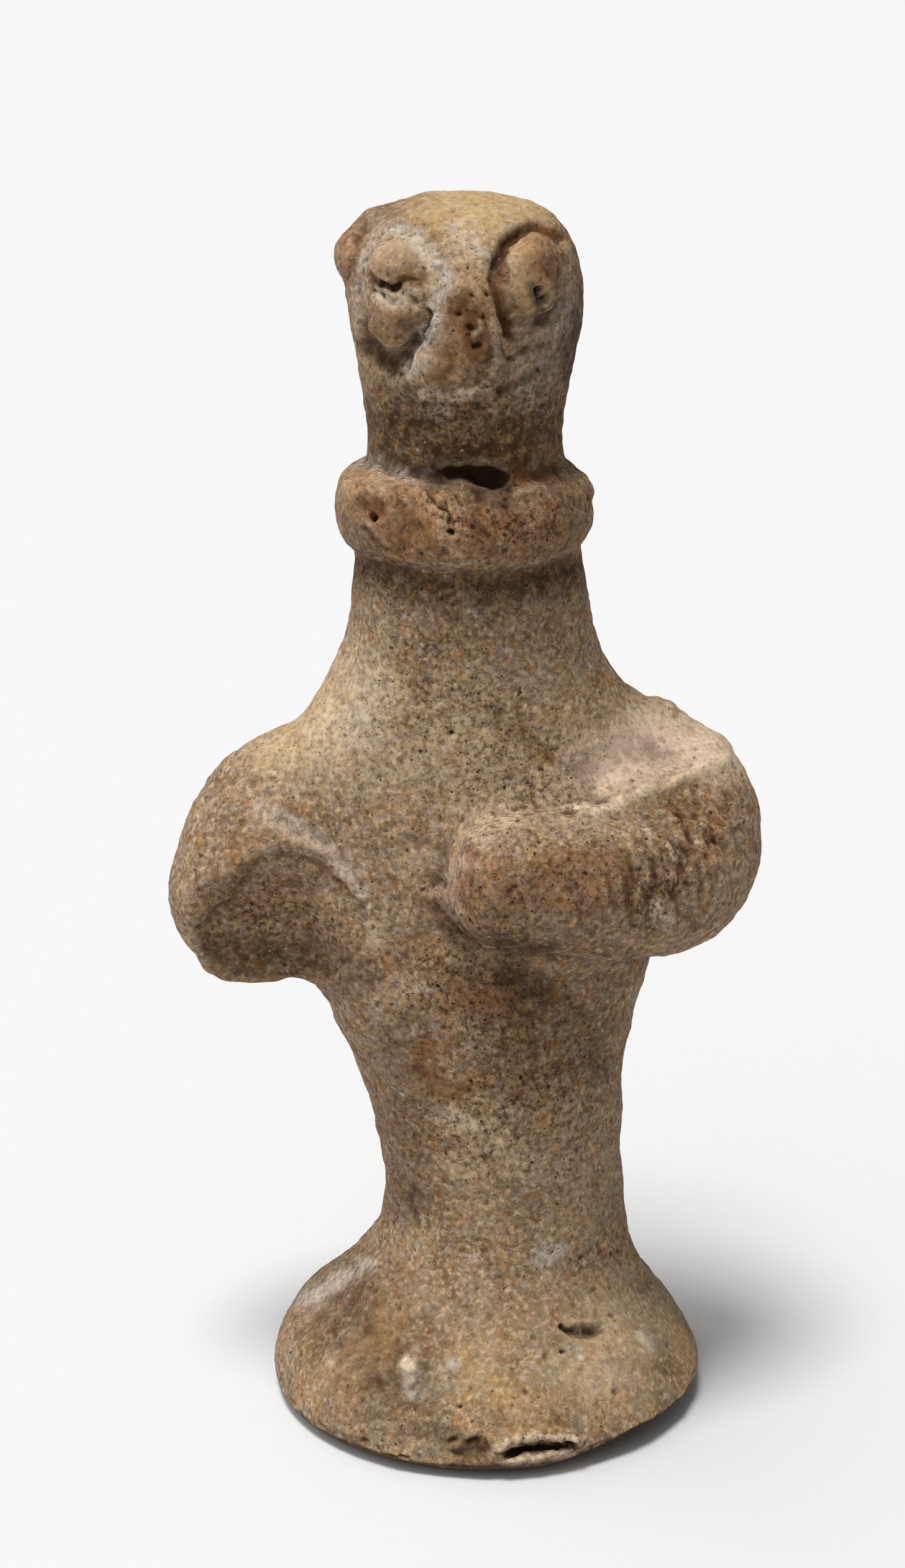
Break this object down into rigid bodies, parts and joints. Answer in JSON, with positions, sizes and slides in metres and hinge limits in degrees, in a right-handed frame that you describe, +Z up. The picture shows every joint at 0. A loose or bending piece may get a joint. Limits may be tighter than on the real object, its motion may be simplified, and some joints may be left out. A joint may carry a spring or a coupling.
{
  "type": "terracotta votive figurine",
  "caption": "Standing clay idol on a flared round foot: a pillar body, one arm folded over the chest, the other broken off, a rolled collar and a bird-like face.",
  "frame": {"origin": "centre of the foot's flat underside, on the ground", "axes": "+Z up through the body to the crown, -Y the way the face looks, +X towards the side of the folded arm"},
  "size_m": [0.0566, 0.0432, 0.1199],
  "materials": {
    "fired_clay": "matt, unglazed and worn, with earthy and whitish deposits"
  },
  "bodies": {
    "root": {"figurine": "fired_clay"}
  },
  "joints": []
}
